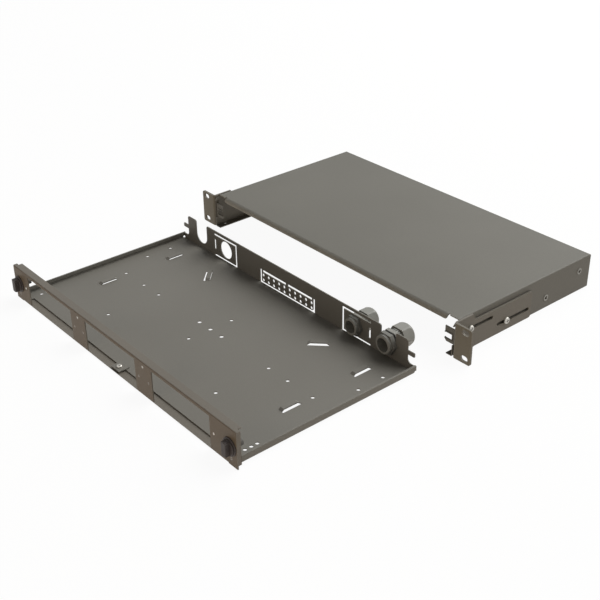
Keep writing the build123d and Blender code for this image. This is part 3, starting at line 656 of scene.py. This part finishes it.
def ribRingTree():
    # moulded ribs: bars along Y, set evenly around an axis
    tree, given = newGeometryTree("ribRing", [
        ("Middle", "NodeSocketVector"), ("Ring Radius", "NodeSocketFloat"),
        ("Rib Radius", "NodeSocketFloat"), ("Rib Length", "NodeSocketFloat"),
        ("Count", "NodeSocketInt"), ("Finish", "NodeSocketMaterial")])
    out = addNode(tree, "ShaderNodeCombineXYZ", (-600, -150), {"X": given["Ring Radius"]})
    lay = addNode(tree, "GeometryNodeTransform", (-400, 0), {
        "Geometry": addRib(tree, given), "Rotation": alongY, "Translation": out.outputs["Vector"]})
    line = addNode(tree, "GeometryNodeMeshLine", (-400, -300), {
        "Count": given["Count"], "Start Location": given["Middle"], "Offset": (0, 0, 0)},
        mode="OFFSET")
    index = addNode(tree, "GeometryNodeInputIndex", (-600, -500)).outputs["Index"]
    part = addMath(tree, "DIVIDE", (-400, -500), index, given["Count"])
    angle = addMath(tree, "MULTIPLY", (-200, -500), part, 2 * math.pi)
    turn = addNode(tree, "ShaderNodeCombineXYZ", (0, -500), {"Y": angle})
    spread = addNode(tree, "GeometryNodeInstanceOnPoints", (200, 0), {
        "Points": line.outputs["Mesh"], "Instance": lay.outputs["Geometry"],
        "Rotation": turn.outputs["Vector"]})
    return closeGeometryTree(tree, given, spread.outputs["Instances"])


def ribRowTree():
    # grip ribs: bars along Y, one above another
    tree, given = newGeometryTree("ribRow", [
        ("Start", "NodeSocketVector"), ("Pitch", "NodeSocketVector"),
        ("Rib Radius", "NodeSocketFloat"), ("Rib Length", "NodeSocketFloat"),
        ("Count", "NodeSocketInt"), ("Finish", "NodeSocketMaterial")])
    lay = addNode(tree, "GeometryNodeTransform", (-400, 0), {
        "Geometry": addRib(tree, given), "Rotation": alongY})
    line = addNode(tree, "GeometryNodeMeshLine", (-200, -300), {
        "Count": given["Count"], "Start Location": given["Start"], "Offset": given["Pitch"]},
        mode="OFFSET")
    spread = addNode(tree, "GeometryNodeInstanceOnPoints", (200, 0), {
        "Points": line.outputs["Mesh"], "Instance": lay.outputs["Geometry"]})
    return closeGeometryTree(tree, given, spread.outputs["Instances"])


ringTree = ringStackTree()
neckTree = ribRingTree()
gripTree = ribRowTree()
print("node trees built")


# Cable glands: ridges of the threads that stand out inside the tray, in front of the locknuts,
# and moulded ribs around the necks between the six sided flanges and the dome nuts. In mm, at full size.
glandShare = {"knockout": 0.907, "notch": 1.0}   # each gland's size
threadValues = {
    "wall": 1.2,             # the tray's rear wall, not scaled
    "locknutHeight": 5.0,
    "firstRidge": 0.55,      # in front of the locknut, not scaled
    "threadRadius": 11.15,
    "ridgeRadius": 0.34,
    "sunk": 0.12,
    "pitch": 1.15,
    "count": 3,
}
neckValues = {
    "neckRadius": 11.3,
    "neckMiddle": 9.1,       # behind the rear wall
    "ribLength": 4.9,
    "ribRadius": 0.5,
    "count": 26,
}


def glandFace(gland):
    # centre of the gland where it meets the outer face of the rear wall
    low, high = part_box(gland + "_gland_gasket")
    return Vector(((low[0] + high[0]) / 2, low[1], (low[2] + high[2]) / 2))


def makeThreadRidges(gland, values):
    share = glandShare[gland]
    front = -values["wall"] - share * values["locknutHeight"] - values["firstRidge"]
    # the thread ridges get the darker nylon, as painted shade
    mesh = bakeTree(gland + "ThreadRidges", ringTree, {
        "Start": glandFace(gland) + Vector((0, front * mm, 0)),
        "Ring Radius": (share * values["threadRadius"] - values["sunk"]) * mm,
        "Ridge Radius": values["ridgeRadius"] * mm,
        "Pitch": (0, -values["pitch"] * mm, 0),
        "Stretch": roundRing,
        "Count": values["count"],
    }, finishes["shadedLocknutNylon"])
    piece = joinMeshes(gland + "ThreadRidges", [mesh], True)
    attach(piece, "drawer")


def makeNeckRibs(gland, values):
    share = glandShare[gland]
    # the neck ribs get the dark nylon, as painted shade
    mesh = bakeTree(gland + "NeckRibs", neckTree, {
        "Middle": glandFace(gland) + Vector((0, share * values["neckMiddle"] * mm, 0)),
        "Ring Radius": share * values["neckRadius"] * mm,
        "Rib Radius": share * values["ribRadius"] * mm,
        "Rib Length": share * values["ribLength"] * mm,
        "Count": values["count"],
    }, finishes["shadedGlandNylon"])
    piece = joinMeshes(gland + "NeckRibs", [mesh], False)
    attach(piece, "drawer")


for gland in glandShare:
    makeThreadRidges(gland, threadValues)
    makeNeckRibs(gland, neckValues)
print("gland ridges and ribs made")


# Eyelets in the fixing holes of the front panel, in mm
eyeletValues = {
    # rows of (first x, height over the base, step along x, count, upright stretch)
    "rows": {
        "panelEyelets": (
            (-69.2, 36.5, 0.0, 1, 1.0), (60.6, 36.5, 0.0, 1, 1.0), (-191.3, 21.5, 0.0, 1, 1.0),
        ),
        # the same eyelets in the darker zinc, as painted shade
        "panelDullEyelets": (
            (-78.2, 21.3, 18.0, 2, 1.0), (51.6, 21.3, 18.0, 2, 1.0), (181.4, 21.5, 0.0, 1, 1.0),
            (-208.0, 8.0, 416.0, 2, 1.45),
        ),
    },
    "finish": {"panelEyelets": "zincPlate", "panelDullEyelets": "shadedZinc"},
    "ringRadius": 1.12,
    "rimRadius": 0.44,
    "set": 0.3,    # how far the ring's middle lies behind the panel's face
}


def makeEyelets(name, values):
    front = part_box("front_panel")[0][1]
    rows = [bakeTree(name, ringTree, {
        "Start": (x * mm, front + values["set"] * mm, baseHeight + height * mm),
        "Ring Radius": values["ringRadius"] * mm,
        "Ridge Radius": values["rimRadius"] * mm,
        "Pitch": (step * mm, 0, 0),
        "Stretch": (1, 1, stretch),
        "Count": count,
    }, finishes[values["finish"][name]]) for x, height, step, count, stretch in values["rows"][name]]
    piece = joinMeshes(name, rows, True)
    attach(piece, "drawer")


for name in eyeletValues["rows"]:
    makeEyelets(name, eyeletValues)
print("panel eyelets made")


# Grip ribs on both flat sides of each latch wing, in mm
gripValues = {
    "wingHalf": 3.5,
    "frontGap": 0.9,       # from the wing's front edge to the ribs
    "ribRadius": 0.42,
    "ribLength": 3.6,
    "sunk": 0.16,
    "pitch": 1.7,
    "count": 5,
}


def makeGripRibs(side, values):
    low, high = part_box(side + "_latch_knob")
    middleX, middleZ = (low[0] + high[0]) / 2, (low[2] + high[2]) / 2
    middleY = low[1] + (values["frontGap"] + values["ribLength"] / 2) * mm
    lowest = middleZ - values["pitch"] * (values["count"] - 1) / 2 * mm
    reach = (values["wingHalf"] - values["sunk"]) * mm
    rows = [bakeTree(side + "GripRibs", gripTree, {
        "Start": (middleX + way * reach, middleY, lowest),
        "Pitch": (0, 0, values["pitch"] * mm),
        "Rib Radius": values["ribRadius"] * mm,
        "Rib Length": values["ribLength"] * mm,
        "Count": values["count"],
    }, finishes["latchPlastic"]) for way in (-1, 1)]
    piece = joinMeshes(side + "GripRibs", rows, False)
    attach(piece, side + "_latch")


for side in ("left", "right"):
    makeGripRibs(side, gripValues)
print("grip ribs made")
